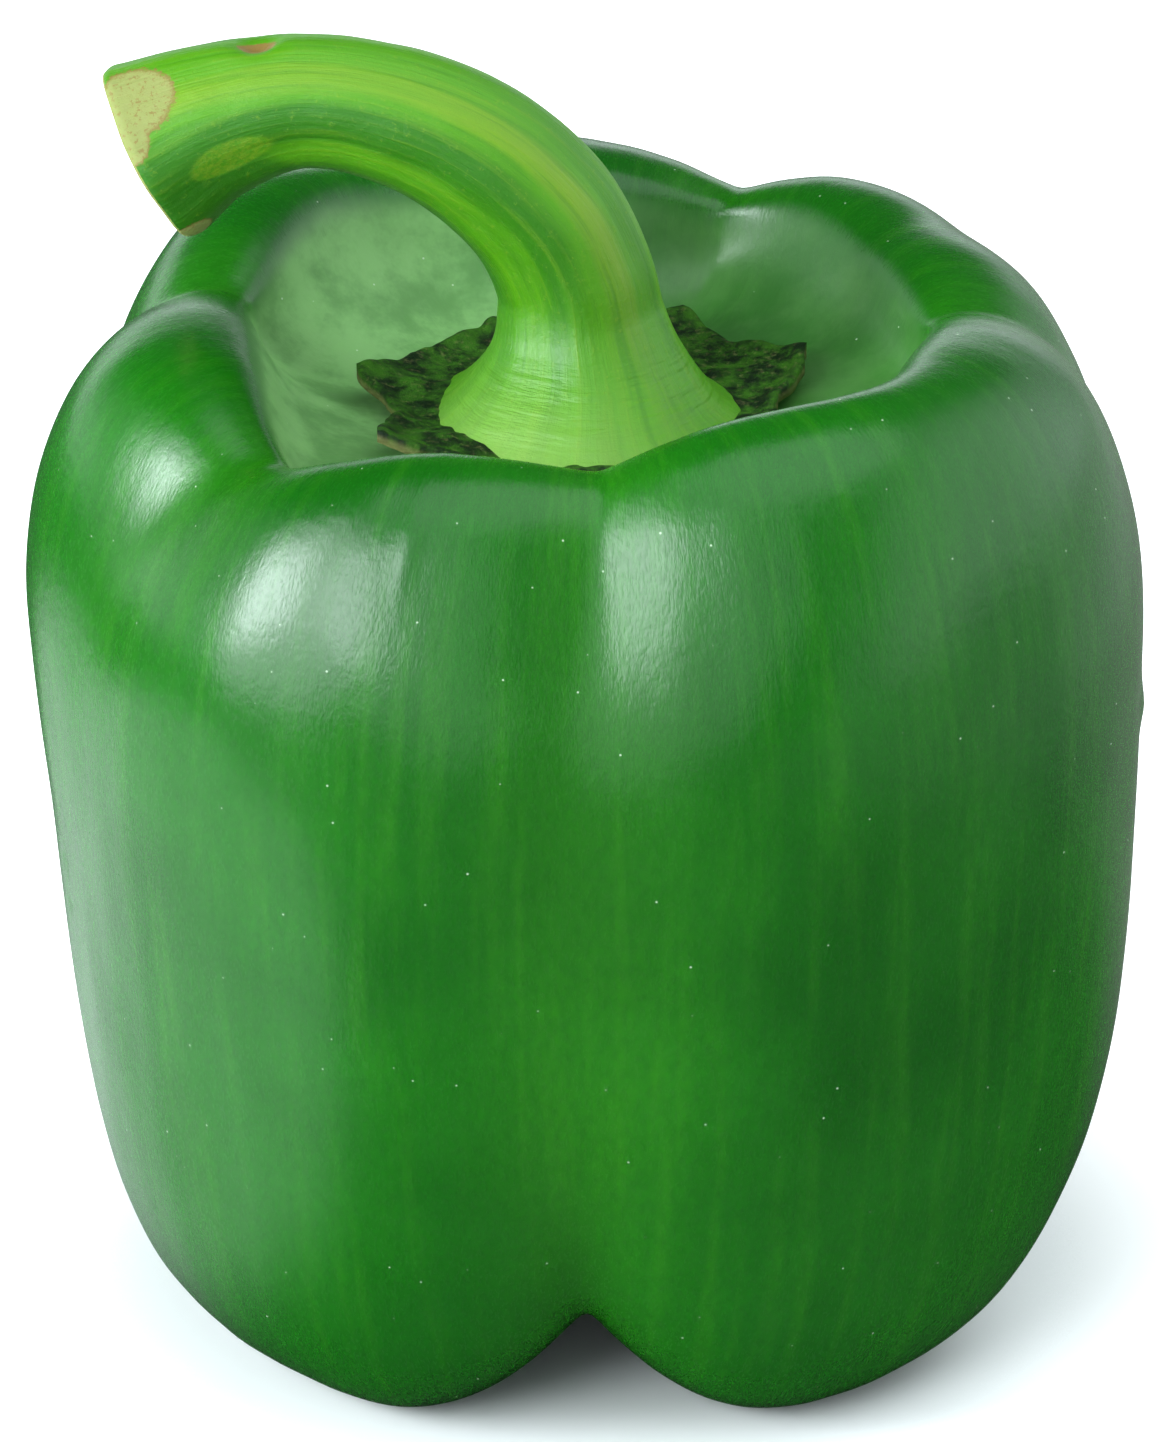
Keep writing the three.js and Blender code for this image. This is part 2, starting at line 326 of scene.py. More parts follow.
def lobe_section(angle):
    """(points, 2, columns) radius and height of the section's points, without the furrows."""
    reach, top, ridge, foot, taper = blended_stations(angle)
    shoulder = reach - ridge
    flank = reach - foot
    flat = np.ones_like(angle)
    low, below_waist, waist, above_waist, high = WALL_HEIGHTS
    points = np.array([
        (0 * flat, NAVEL_HEIGHT * flat),
        (0.42 * foot, 0.8 * NAVEL_HEIGHT * flat),
        (0.75 * foot, (0.15 * NAVEL_HEIGHT - FOOT_SINK) * flat),
        (1.02 * foot, (-FOOT_SINK - 0.6) * flat),
        (foot + 0.53 * flank, (1.8 - FOOT_SINK) * flat),
        (foot + 0.83 * flank - 0.5 * taper, low * flat),
        (reach - 1.2 - taper, below_waist * flat),
        (reach - 0.4 - 0.7 * taper, waist * flat),
        (reach + 0.4, above_waist * flat),
        (reach + 0.9, high * flat),
        (ridge + 0.78 * shoulder, top - 4.2),
        (ridge + 0.28 * shoulder, top + 0.8),
        (ridge - 4.2, top + 0.7),
        (ridge - 6.0, top - 5.0),
        (HOLLOW_RADIUS * flat, (HOLLOW_FLOOR + 1.2) * flat),
        ((HOLLOW_RADIUS - 7) * flat, HOLLOW_FLOOR * flat),
        (0 * flat, HOLLOW_FLOOR * flat),
    ])
    belly = np.exp(-((turn_between(angle, BELLY_AT) / BELLY_WIDTH) ** 2))
    last = BELLY_FIRST + len(BELLY_MOVES)
    points[BELLY_FIRST:last] += np.array(BELLY_MOVES)[:, :, None] * belly
    return points


def furrow_strength(angle, along):
    """(rows, columns) strength of the furrows."""
    run = RIM_AT - FOOT_AT
    turned = np.clip((RIM_AT - along) / run, 0, 1)
    low_share = smooth_step(RIM_AT - along, 0, run)
    waist = np.sin(np.pi * np.clip((along - WAIST_FROM) / (WAIST_TO - WAIST_FROM), 0, 1)) ** 2
    strength = np.zeros((len(along), len(angle)))
    for at, lean, depth, low, width, blunt in FURROWS:
        away = turn_between(angle[None, :], (at + lean * turned)[:, None]) / width
        soft = (blunt + BLUNT_AT_WAIST * waist)[:, None]
        out = (np.hypot(away, soft) - soft) / (np.hypot(1, soft) - soft)
        share = depth + (low - depth) * low_share
        strength += share[:, None] * np.clip(1 - out, 0, None) ** 2
    return strength


def fruit_surface(angle, along, strength):
    radius, height = axis_spline(lobe_section(angle), along)
    shifts = np.array(FURROW_SHIFTS, float)[:, :, None]
    inward, upward = axis_spline(shifts, along)
    radius = radius + strength * inward
    height = height + strength * upward
    height = 0.5 * (height + np.hypot(height, FOOT_ROUNDING))
    a = np.radians(angle)
    return np.stack([radius * np.cos(a), radius * np.sin(a), height], axis=-1)


def meridian_ribs(angle, along):
    a = np.radians(angle)[None, :]
    wall = smooth_step(along, *RIBS_FADE_IN) * (1 - smooth_step(along, *RIBS_FADE_OUT))
    ribs = np.sin(23 * a + 1.3 * np.sin(3 * a)) * 0.6 + np.sin(41 * a + 2 * np.sin(5 * a)) * 0.4
    return RIB_HEIGHT * ribs * wall[:, None]


def wall_marks(points, angle, radius):
    rises = np.zeros_like(radius)
    for at, height, across, up, rise in WALL_MARKS:
        sideways = np.radians(turn_between(angle[None, :], at)) * radius
        far = np.hypot(sideways / across, (points[..., 2] - height) / up)
        rises += rise * bump_at(far, 1) * (radius > WALL_RADIUS)
    return rises


def blossom_scar(radius, along):
    """How deep the blossom scar is sunk in the middle of the underside."""
    pit_depth, pit_radius = SCAR_PIT
    ring_height, ring_radius, ring_width = SCAR_RING
    scar = pit_depth * bump_at(radius, pit_radius)
    scar -= ring_height * bump_at(radius - ring_radius, ring_width)
    return scar * (along < UNDERSIDE_TO)[:, None]


def fruit_relief(points, angle, along):
    """How far the skin is moved inward by slow lumps, faint meridian ribs, marks and the scar."""
    radius = np.hypot(points[..., 0], points[..., 1])
    depth = sum(smooth_noise(points, *lump) for lump in LUMPS)
    depth += meridian_ribs(angle, along)
    depth -= wall_marks(points, angle, radius)
    depth += blossom_scar(radius, along)
    return depth


def fruit_grain(points, angle):
    """Coordinates that follow the skin: round the fruit in x and y, up the section in z."""
    steps = np.linalg.norm(np.diff(points, axis=0), axis=-1).mean(1)
    a = np.radians(angle)
    return all_broadcast(
        FRUIT_GRAIN * np.cos(a)[None, :], FRUIT_GRAIN * np.sin(a)[None, :],
        arc_length(steps)[:, None])


# how much painted reflection lies on the sunken top round the stem
def hollow_painted_reflection(angle, along):
    turned = np.abs(turn_between(angle, REFLECTION_AT))
    reflecting = 1 - (1 - REFLECTION_ELSEWHERE) * smooth_step(turned, *REFLECTION_FADE)
    return smooth_step(along, *HOLLOW_FADE_IN)[:, None] * reflecting[None, :]


def shift_to_cad(points):
    """The move in x and y that puts the middle of a grid's box on the CAD fruit's."""
    low, high = points.min((0, 1)), points.max((0, 1))
    cad_low, cad_high = (np.array(corner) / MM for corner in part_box("fruit"))
    shift = ((cad_low + cad_high) - (low + high)) / 2
    shift[2] = 0
    return shift


def make_fruit():
    angle = even_turns(FRUIT_COLUMNS)
    along = np.linspace(0, 1, FRUIT_ROWS)
    strength = furrow_strength(angle, along)
    points = fruit_surface(angle, along, strength)
    shift = shift_to_cad(points)
    points = points - normals_of(points) * fruit_relief(points, angle, along)[..., None]
    points[..., 2] = np.maximum(points[..., 2], 0)
    facts = {
        "grain": fruit_grain(points, angle),
        "furrow": strength,
        "hollow_reflection": hollow_painted_reflection(angle, along),
    }
    return skin_object("fruit_skin", points + shift, facts), shift


# ---- calyx ----

def calyx_reach(angle):
    reach = np.full_like(angle, CALYX_RADIUS)
    for at, tip in CALYX_POINTS:
        near = 1 - np.abs(turn_between(angle, at)) / CALYX_POINT_WIDTH
        reach += (tip - CALYX_RADIUS) * np.clip(near, 0, None) ** CALYX_POINT_SHARPNESS
    a = np.radians(angle)
    torn = 0.22 * np.sin(9 * a + 2.5 * np.sin(2 * a)) + 0.12 * np.sin(31 * a + 2 * np.sin(3 * a))
    return reach + torn


def calyx_relief(points, a, out):
    """How much the upper face stands up in wrinkles, veins and a lip at the margin."""
    wrinkles = sum(smooth_noise(points, *wrinkle) for wrinkle in CALYX_WRINKLES)
    veins = np.abs(np.sin(3.5 * a + 0.6))[None, :] ** 6
    lip_height, lip_at, lip_width = CALYX_LIP
    lip = lip_height * bump_at(out - lip_at, lip_width)
    return wrinkles + CALYX_VEIN * veins * out + lip


def make_calyx(shift):
    angle = even_turns(CALYX_COLUMNS)
    a = np.radians(angle)
    half = CALYX_ROWS // 2
    out = np.concatenate([np.linspace(0, 1, half), np.linspace(1, 0, half)])[:, None]
    top = (np.arange(CALYX_ROWS) < half)[:, None]
    radius = calyx_reach(angle)[None, :] * out
    height = CALYX_UNDERSIDE + CALYX_CURL * (radius / HOLLOW_RADIUS) ** 4
    thickness = CALYX_THICKNESS + (CALYX_MARGIN - CALYX_THICKNESS) * out**2
    height = height + np.where(top, thickness, 0)
    points = np.stack([radius * np.cos(a), radius * np.sin(a), height], axis=-1)
    points[..., 2] += np.where(top, calyx_relief(points, a, out), 0)
    front = np.clip(-np.sin(a), 0, 1)[None, :] ** 2
    points[..., 2] -= CALYX_DROOP * front * out**2
    edge = np.where(top, smooth_step(out, 0.93, 1.0), 0.3) * np.ones_like(radius)
    return skin_object("calyx_star", points[::-1] + shift, {"edge": edge})


# ---- stem ----

def stem_frame(along):
    """Centres, tangents and radii along the stem's centre line."""
    rings = catmull_rom(STEM_RINGS, along)
    centre = rings[:, :3]
    tangent = unit_rows(np.gradient(centre, axis=0))
    upright = smooth_step(centre[:, 2], *UPRIGHT_FADE)[:, None]
    tangent = np.array([0.0, 0.0, 1.0]) * (1 - upright) + tangent * upright
    tangent[:, 1] = 0
    return centre, unit_rows(tangent), rings[:, 3]


def stem_radius(radius, arc, a):
    """(rows, columns) radius with its ribs, the flutes of the root, the nick and the cut's edge."""
    ribs = 0.020 * np.cos(5 * a + 0.7) + 0.010 * np.cos(9 * a + 2.1)
    root = bump_at(arc, ROOT_REACH)[:, None]
    flutes = 0.012 * root * np.cos(7 * a - 1.0)
    swell = radius[:, None] * (1 + ribs + flutes)
    nick_from_cut, nick_turn = NICK
    lengthways = (arc[-1] - arc[:, None] - nick_from_cut) / NICK_LENGTH
    nick = np.hypot(lengthways, (a - math.radians(nick_turn)) * 4)
    swell = swell - NICK_DEPTH * bump_at(nick, 1.0)
    edge = np.linspace(0, 1, CUT_EDGE_ROWS)
    swell[-CUT_EDGE_ROWS:] -= (CUT_EDGE_ROUND * edge**2)[:, None]
    return swell


def stem_grid(a):
    """The stalk's grid before its fine lumps, and each row's distance past the cut."""
    along = np.linspace(0, 1, STEM_ROWS - CUT_ROWS)
    centre, tangent, radius = stem_frame(along)
    arc = arc_length(np.linalg.norm(np.diff(centre, axis=0), axis=1))
    side = np.array([0.0, 1.0, 0.0])
    across = np.cross(side, tangent)
    ring = (centre[:, None, :]
            + stem_radius(radius, arc, a)[..., None]
            * (np.cos(a)[..., None] * across[:, None, :] + np.sin(a)[..., None] * side))
    fill = np.cos(np.linspace(0, math.pi / 2, CUT_ROWS + 1))[1:]
    rise = CUT_BULGE * (1 - fill**2)
    end = (centre[-1] + fill[:, None, None] * (ring[-1] - centre[-1])[None, :, :]
           + rise[:, None, None] * tangent[-1])
    underside = centre[:1, None, :] + 0 * ring[:1]
    from_cut = np.concatenate([[-arc[-1]], arc - arc[-1], rise])
    return np.concatenate([underside, ring, end]), from_cut


def stem_facts(a, from_cut):
    """What the stem's material reads: grain, cut, light and dark bands, and the underside's darker
    green with painted shade.
    """
    grain = all_broadcast(STEM_GRAIN * np.cos(a), STEM_GRAIN * np.sin(a), from_cut[:, None])
    outer = smooth_step(from_cut, *BANDS_FADE_IN)[:, None]
    light_turn, light_width = LIGHT_BAND
    shade_turn, shade_width = SHADE_BAND
    turn = np.degrees(a)
    light = bump_at(turn_between(turn, light_turn), light_width) * (0.35 + 0.65 * outer)
    shade = bump_at(turn_between(turn, shade_turn), shade_width) * outer
    tip = smooth_step(from_cut, *TIP_FADE_IN)[:, None]
    # the underside: darker green with painted shade, spreading further round near the cut end
    underside_dark_and_shade = smooth_step(-np.cos(a), 0.65 - 0.6 * tip, 0.95 - 0.5 * tip) * outer
    cut = smooth_step(from_cut, -0.3, 0.1)[:, None] + np.zeros_like(a)
    return {"grain": grain, "cut": cut, "band": light - shade, "underside_dark_and_shade": underside_dark_and_shade}


def make_stem(shift):
    a = np.radians(even_turns(STEM_COLUMNS))[None, :]
    points, from_cut = stem_grid(a)
    pole = points[0].copy()
    points -= normals_of(points) * smooth_noise(points, *STEM_LUMPS)[..., None]
    points[0] = pole
    points[-1] = points[-1].mean(0)
    return skin_object("stem_stalk", points + shift, stem_facts(a, from_cut))


# ---- materials ----

class Nodes:
    """Short calls that add and link one tree's shader nodes."""

    def __init__(self, tree):
        self.tree = tree

    def node(self, kind, **settings):
        made = self.tree.nodes.new(kind)
        for key, value in settings.items():
            setattr(made, key, value)
        return made

    def link(self, source, target):
        self.tree.links.new(source, target)

    def fill(self, socket, value):
        """Sets a socket to a number or colour, or links another socket to it."""
        if isinstance(value, bpy.types.NodeSocket):
            self.link(value, socket)
        else:
            socket.default_value = value

    def attribute(self, name, vector=False):
        made = self.node("ShaderNodeAttribute", attribute_name=name)
        return made.outputs["Vector" if vector else "Fac"]

    def stretched(self, vector, scale):
        """A vector scaled on each axis: a small number makes features long on that axis."""
        made = self.node("ShaderNodeMapping")
        self.link(vector, made.inputs["Vector"])
        made.inputs["Scale"].default_value = scale
        return made.outputs["Vector"]

    def noise(self, vector, scale, detail=3.0, roughness=0.55):
        made = self.node("ShaderNodeTexNoise")
        self.link(vector, made.inputs["Vector"])
        made.inputs["Scale"].default_value = scale
        made.inputs["Detail"].default_value = detail
        made.inputs["Roughness"].default_value = roughness
        return made.outputs["Fac"]

    def cells(self, vector, scale):
        made = self.node("ShaderNodeTexVoronoi")
        self.link(vector, made.inputs["Vector"])
        made.inputs["Scale"].default_value = scale
        return made.outputs["Distance"]

    def ramp(self, value, low, high, start=0.0, end=1.0):
        """Maps low..high to start..end smoothly, clamped."""
        made = self.node("ShaderNodeMapRange", interpolation_type="SMOOTHSTEP")
        self.link(value, made.inputs["Value"])
        for key, number in zip(("From Min", "From Max", "To Min", "To Max"),
                               (low, high, start, end)):
            made.inputs[key].default_value = number
        return made.outputs["Result"]

    def math(self, operation, a, b):
        made = self.node("ShaderNodeMath", operation=operation)
        self.fill(made.inputs[0], a)
        self.fill(made.inputs[1], b)
        return made.outputs[0]

    def times(self, a, b):
        return self.math("MULTIPLY", a, b)

    def mix(self, share, a, b):
        made = self.node("ShaderNodeMix", data_type="RGBA", blend_type="MIX")
        self.fill(made.inputs["Factor"], share)
        self.fill(made.inputs["A"], a)
        self.fill(made.inputs["B"], b)
        return made.outputs["Result"]

    def distance(self, vector, centre):
        made = self.node("ShaderNodeVectorMath", operation="DISTANCE")
        self.link(vector, made.inputs[0])
        made.inputs[1].default_value = centre
        return made.outputs["Value"]

    def patch(self, vector, centre, radius):
        """1 at a place on the surface, fading to 0 at radius; all in the vector's own units."""
        return self.ramp(self.distance(vector, centre), 0, radius, 1, 0)

    def axes(self, vector):
        """The x, y and z sockets of a vector."""
        made = self.node("ShaderNodeSeparateXYZ")
        self.link(vector, made.inputs[0])
        return made.outputs

    def bump(self, height, depth, strength=1.0, onto=None):
        made = self.node("ShaderNodeBump")
        self.link(height, made.inputs["Height"])
        made.inputs["Distance"].default_value = depth
        made.inputs["Strength"].default_value = strength
        if onto is not None:
            self.link(onto, made.inputs["Normal"])
        return made.outputs["Normal"]

    def object_place(self):
        """Object coordinates in millimetres."""
        made = self.node("ShaderNodeTexCoord")
        return self.stretched(made.outputs["Object"], (1 / MM,) * 3)


class Shading(Nodes):
    """The nodes of one new material."""

    def __init__(self, name):
        self.material = bpy.data.materials.new(name)
        self.material.use_nodes = True
        super().__init__(self.material.node_tree)
        self.skin = self.tree.nodes["Principled BSDF"]

    def finish(self, colour, roughness, normal, **plain):
        self.fill(self.skin.inputs["Base Color"], colour)
        self.fill(self.skin.inputs["Roughness"], roughness)
        self.fill(self.skin.inputs["Normal"], normal)
        for key, value in plain.items():
            self.skin.inputs[key.replace("_", " ")].default_value = value
        return self.material


def colour(red, green, blue):
    return (red, green, blue, 1.0)


SKIN_DEEP = colour(0.0015, 0.072, 0.0007)
SKIN_LEAF = colour(0.005, 0.115, 0.0012)
SKIN_YELLOW = colour(0.030, 0.20, 0.003)
# painted reflection: the pale haze on the sunken top round the stem
SKIN_PAINTED_REFLECTION = colour(0.18, 0.39, 0.12)
# pale specks painted as tiny glints
SKIN_PAINTED_GLINT = colour(0.5, 0.62, 0.45)
CALYX_DARK = colour(0.0015, 0.012, 0.0006)
CALYX_OLIVE = colour(0.028, 0.115, 0.003)
CALYX_TAN = colour(0.26, 0.26, 0.09)
# the underside's darker green with painted shade
STEM_DARK_AND_SHADE = colour(0.010, 0.11, 0.001)
STEM_DEEP = colour(0.022, 0.145, 0.0004)
STEM_LEAF = colour(0.065, 0.245, 0.001)
STEM_PALE = colour(0.165, 0.29, 0.008)
# painted highlight on the flared root
STEM_PAINTED_HIGHLIGHT = colour(0.28, 0.46, 0.11)
STEM_CORK = colour(0.23, 0.26, 0.07)
STEM_BROWN = colour(0.20, 0.13, 0.03)


def fruit_colour(s, grain, place, hollow_reflection):
    """Deep and leaf green patches with yellow streaks and dapple; a painted reflection as a pale
    haze in the sunken top round the stem; painted shade, darker towards the bottom; and pale specks
    painted as tiny glints.
    """
    patches = s.noise(place, 0.045, 3.0)
    body = s.mix(s.ramp(patches, 0.25, 0.75), SKIN_DEEP, SKIN_LEAF)
    streaks = s.noise(s.stretched(grain, (1, 1, 0.07)), 0.55, 4.0, 0.6)
    body = s.mix(s.ramp(streaks, 0.45, 0.75, 0, 0.24), body, SKIN_YELLOW)
    body = s.mix(s.ramp(s.attribute("furrow"), 0.25, 1.0, 0, 0.2), body, SKIN_YELLOW)
    dapple = s.noise(s.stretched(grain, (1, 1, 0.4)), 1.6, 2.0)
    body = s.mix(s.ramp(dapple, 0.35, 0.7, 0, 0.3), body, SKIN_DEEP)
    # painted reflection on the sunken top round the stem, made patchy
    patchy_reflection = s.ramp(s.noise(place, 0.16, 5.0, 0.65), 0.35, 0.65, 0.5, 1.0)
    body = s.mix(s.times(hollow_reflection, patchy_reflection), body, SKIN_PAINTED_REFLECTION)
    # painted shade: darker towards the bottom
    body = s.mix(s.ramp(s.axes(place)["Z"], 4, 34, 0.4, 0), body, SKIN_DEEP)
    # pale specks painted as tiny glints
    painted_glint = s.ramp(s.cells(place, 0.42), 0.025, 0.045, 1, 0)
    return s.mix(s.times(painted_glint, 0.7), body, SKIN_PAINTED_GLINT)


def fruit_material():
    s = Shading("fruit_skin")
    grain = s.attribute("grain", vector=True)
    place = s.object_place()
    # mask of the painted reflection on the sunken top round the stem; it also raises the roughness
    # there
    hollow_reflection = s.attribute("hollow_reflection")
    fine = s.noise(s.stretched(grain, (1, 1, 0.35)), 4.5, 2.0, 0.6)
    waxy = s.noise(place, 0.9, 3.0)
    normal = s.bump(waxy, 0.00010, 0.3)
    normal = s.bump(fine, 0.00004, 0.45, onto=normal)
    rough = s.math("ADD", s.ramp(fine, 0.3, 0.7, 0.23, 0.29), s.times(hollow_reflection, 0.4))
    return s.finish(
        fruit_colour(s, grain, place, hollow_reflection), rough, normal, Specular_IOR_Level=0.5,
        Subsurface_Weight=0.12, Subsurface_Radius=(0.3, 1.0, 0.15), Subsurface_Scale=0.0025,
    )


def calyx_material():
    s = Shading("calyx")
    place = s.object_place()
    blotch = s.noise(place, 0.5, 4.0, 0.65)
    body = s.mix(s.ramp(blotch, 0.38, 0.66), CALYX_DARK, CALYX_OLIVE)
    veins = s.noise(place, 1.8, 3.0, 0.6)
    body = s.mix(s.ramp(veins, 0.55, 0.7, 0, 0.2), body, CALYX_TAN)
    body = s.mix(s.ramp(s.attribute("edge"), 0.35, 1.0, 0, 0.75), body, CALYX_TAN)
    normal = s.bump(s.noise(place, 2.2, 5.0, 0.65), 0.00035, 0.8)
    rough = s.ramp(blotch, 0.3, 0.7, 0.55, 0.8)
    return s.finish(body, rough, normal, Specular_IOR_Level=0.2)


def on_stem(turn, from_cut):
    """Grain coordinates of a place on the stem."""
    a = math.radians(turn)
    return (STEM_GRAIN * math.cos(a), STEM_GRAIN * math.sin(a), -from_cut)


def stem_bands(s, grain, lines):
    """The green of the stalk: lengthways bands and lines, and an underside of darker green with
    painted shade.
    """
    slow = s.noise(s.stretched(grain, (1, 1, 0.12)), 0.35, 3.0)
    tone = s.math("ADD", s.attribute("band"), s.ramp(slow, 0.25, 0.75, -0.4, 0.4))
    body = s.mix(s.ramp(tone, -0.8, 0.1), STEM_DEEP, STEM_LEAF)
    body = s.mix(s.ramp(tone, 0.1, 1.1, 0, 0.7), body, STEM_PALE)
    body = s.mix(s.ramp(lines, 0.50, 0.75, 0, 0.28), body, STEM_PALE)
    body = s.mix(s.ramp(lines, 0.30, 0.50, 0.4, 0), body, STEM_DEEP)
    # darker green with painted shade on the underside
    return s.mix(s.times(s.attribute("underside_dark_and_shade"), 0.85), body, STEM_DARK_AND_SHADE)


def stem_spots(s, body, grain, dots, pitted):
    """A painted highlight as a pale frosty patch at the root, pale dots, and a speckled pale oval
    near the cut.
    """
    # painted highlight on the flared root
    highlight_place, highlight_radius = ROOT_HIGHLIGHT_SPOT
    root_highlight = s.patch(grain, on_stem(*highlight_place), highlight_radius)
    body = s.mix(s.times(root_highlight, 0.6), body, STEM_PAINTED_HIGHLIGHT)
    body = s.mix(s.ramp(dots, 0.56, 0.72, 0, 0.4), body, STEM_PALE)
    speckle = s.mix(s.ramp(pitted, 0.42, 0.62), STEM_PALE, STEM_LEAF)
    oval_place, oval_radius = PALE_OVAL
    x, y, z = on_stem(*oval_place)
    squeezed = s.stretched(grain, (1, 1, OVAL_SQUEEZE))
    oval = s.patch(squeezed, (x, y, z * OVAL_SQUEEZE), oval_radius)
    ragged_oval = s.math("ADD", oval, s.times(pitted, 0.3))
    return s.mix(s.ramp(ragged_oval, 0.3, 0.5, 0, 0.6), body, speckle)


def stem_corky_parts(s, grain, pitted):
    """Above about 0.6 on the cut end and on the corky spots beside it, with a ragged edge."""
    corky = s.attribute("cut")
    for spot, size in CORKY_SPOTS:
        corky = s.math("MAXIMUM", corky, s.patch(grain, on_stem(*spot), size))
    return s.math("ADD", corky, s.times(pitted, 0.5))


def stem_scars(s, body, grain, pitted, ragged):
    """Cork with a brown rim on the corky parts, and brown in the nick."""
    rim = s.times(s.ramp(ragged, 0.50, 0.56), s.ramp(ragged, 0.56, 0.66, 1, 0))
    scar = s.mix(s.ramp(pitted, 0.52, 0.62, 0, 0.8), STEM_CORK, STEM_BROWN)
    body = s.mix(s.ramp(ragged, 0.56, 0.60), body, scar)
    body = s.mix(s.times(rim, 0.8), body, STEM_BROWN)
    nick_from_cut, nick_turn = NICK
    nicked = s.patch(grain, on_stem(nick_turn, nick_from_cut), 1.9)
    ragged_nick = s.math("ADD", nicked, s.times(pitted, 0.6))
    return s.mix(s.ramp(ragged_nick, 0.6, 0.75), body, STEM_BROWN)


def stem_normal(s, grain, lines, dots):
    """Creases round the neck, then lengthways lines, then dots."""
    neck = s.patch(s.stretched(grain, (0, 0, 1)), (0, 0, -NECK_FROM_CUT), 5)
    creases = s.noise(s.stretched(grain, (0.25, 0.25, 1.6)), 0.9, 3.0)
    normal = s.bump(s.times(neck, creases), 0.0005, 0.6)
    normal = s.bump(lines, 0.00020, 0.6, onto=normal)
    return s.bump(dots, 0.00008, 0.7, onto=normal)


def stem_material():
    s = Shading("stem")
    grain = s.attribute("grain", vector=True)
    place = s.object_place()
    lines = s.noise(s.stretched(grain, (1, 1, 0.045)), 1.8, 4.0, 0.6)
    dots = s.noise(place, 1.9, 4.0, 0.75)
    pitted = s.noise(place, 2.6, 5.0, 0.75)
    ragged = stem_corky_parts(s, grain, pitted)
    body = stem_bands(s, grain, lines)
    body = stem_spots(s, body, grain, dots, pitted)
    body = stem_scars(s, body, grain, pitted, ragged)
    rough = s.math("ADD", s.ramp(dots, 0.3, 0.7, 0.36, 0.5), s.ramp(ragged, 0.5, 0.6, 0, 0.3))
    return s.finish(
        body, rough, stem_normal(s, grain, lines, dots), Specular_IOR_Level=0.45,
        Subsurface_Weight=0.12, Subsurface_Radius=(0.4, 1.0, 0.15), Subsurface_Scale=0.002,
    )


# ---- stage: floor, light, camera; in metres, as Blender's own coordinates are ----

FLOOR_SIZE = 6.0
FLOOR_TONE = 0.92
FLOOR_GLOW = 0.7  # makes the floor near white where it is looked at
# painted contact shadow: the floor's glow is dimmed where it is closed in round the feet
CONTACT_SHADOW_REACH = 0.04
CONTACT_SHADOW_FADE = (0.5, 0.95)  # openness between which the glow comes up round the feet
# how the floor looks in the glossy skin: pale on the left, dark in front, a glow behind
LIT_CENTRE = (-0.15, -0.01, 0.0)
LIT_FALL = (0.10, 0.13)  # distances from there between which it darkens
LIT_SHARE = 0.7
RIGHT_FROM = (0.08, 0.2)
RIGHT_SHARE = 0.35
FRONT_TONE = 0.04
RIM_GLOW = 0.25
RIM_GLOW_FADE = (0.0, 0.06)

# the room: strengths behind, to the right, to the left, and low and high all round
WORLD_BEHIND = 1.5
WORLD_RIGHT = 1.6
WORLD_LEFT = 0.8
WORLD_LOW = 0.02
WORLD_HIGH = 0.08

LAMP_TINT = (0.88, 0.96, 1.0)
LAMP_AIM = Vector((0, 0, 0.05))
# name, azimuth, elevation, distance, diameter, power, and whether reflections show it
LAMPS = [
    ("key", -66, 25, 0.9, 0.36, 5.4, True),
    ("halo", -58, 24, 0.95, 0.95, 9.0, True),
    ("window", -30, 29, 0.9, 0.36, 2.6, True),
    ("fill", -12, 24, 1.2, 1.1, 3.4, True),
    ("top", 20, 72, 1.2, 1.2, 6.0, True),
    ("back", 135, 40, 1.2, 1.2, 9.0, False),
]

CAMERA_ELEVATION = 24.0
CAMERA_DISTANCE = 0.620
CAMERA_LENS = 201.2
CAMERA_SENSOR = 36
CAMERA_CLIP = 0.01
CAMERA_LEFT_OF_FRUIT = 0.2 * MM
CAMERA_HEIGHT_OVER_AIM = 0.0042
AIM_HEIGHT = 0.042


def floor_material():
    """Near white where it is looked at, with a painted contact shadow round the feet; the glossy
    skin sees a darker floor in front.
    """
    s = Shading("floor")
    place = s.node("ShaderNodeTexCoord").outputs["Object"]
    ray = s.node("ShaderNodeLightPath").outputs
    x, y, _ = s.axes(place)
    lit = s.ramp(s.distance(place, LIT_CENTRE), *LIT_FALL, LIT_SHARE, 0)
    lit = s.math("MAXIMUM", lit, s.ramp(x, *RIGHT_FROM, 0, RIGHT_SHARE))
    shown = s.math("MAXIMUM", lit, s.math("SUBTRACT", 1, ray["Is Glossy Ray"]))
    tone = s.ramp(shown, 0, 1, FRONT_TONE, FLOOR_TONE)
    grey = s.node("ShaderNodeCombineXYZ")
    for socket in grey.inputs:
        s.link(tone, socket)
    # painted contact shadow: the glow is dimmed where the floor is closed in round the feet
    openness = s.node("ShaderNodeAmbientOcclusion", samples=8)
    openness.inputs["Distance"].default_value = CONTACT_SHADOW_REACH
    glow = s.ramp(openness.outputs["AO"], *CONTACT_SHADOW_FADE, 0, FLOOR_GLOW)
    looked_at = s.times(ray["Is Camera Ray"], glow)
    behind = s.times(s.ramp(y, *RIM_GLOW_FADE, 0, RIM_GLOW), s.ramp(x, *RIM_GLOW_FADE))
    mirrored = s.times(ray["Is Glossy Ray"], behind)
    s.skin.inputs["Emission Color"].default_value = colour(1, 1, 1)
    s.link(s.math("ADD", looked_at, mirrored), s.skin.inputs["Emission Strength"])
    normal = s.bump(s.noise(place, 400), 0.0001, 0.2)
    return s.finish(grey.outputs[0], 0.8, normal, Specular_IOR_Level=0.1)


def make_floor():
    mesh = bpy.data.meshes.new("floor")
    half = FLOOR_SIZE / 2
    corners = [(-half, -half, 0), (half, -half, 0), (half, half, 0), (-half, half, 0)]
    mesh.from_pydata(corners, [], [(0, 1, 2, 3)])
    mesh.materials.append(floor_material())
    in_scene("floor", mesh)


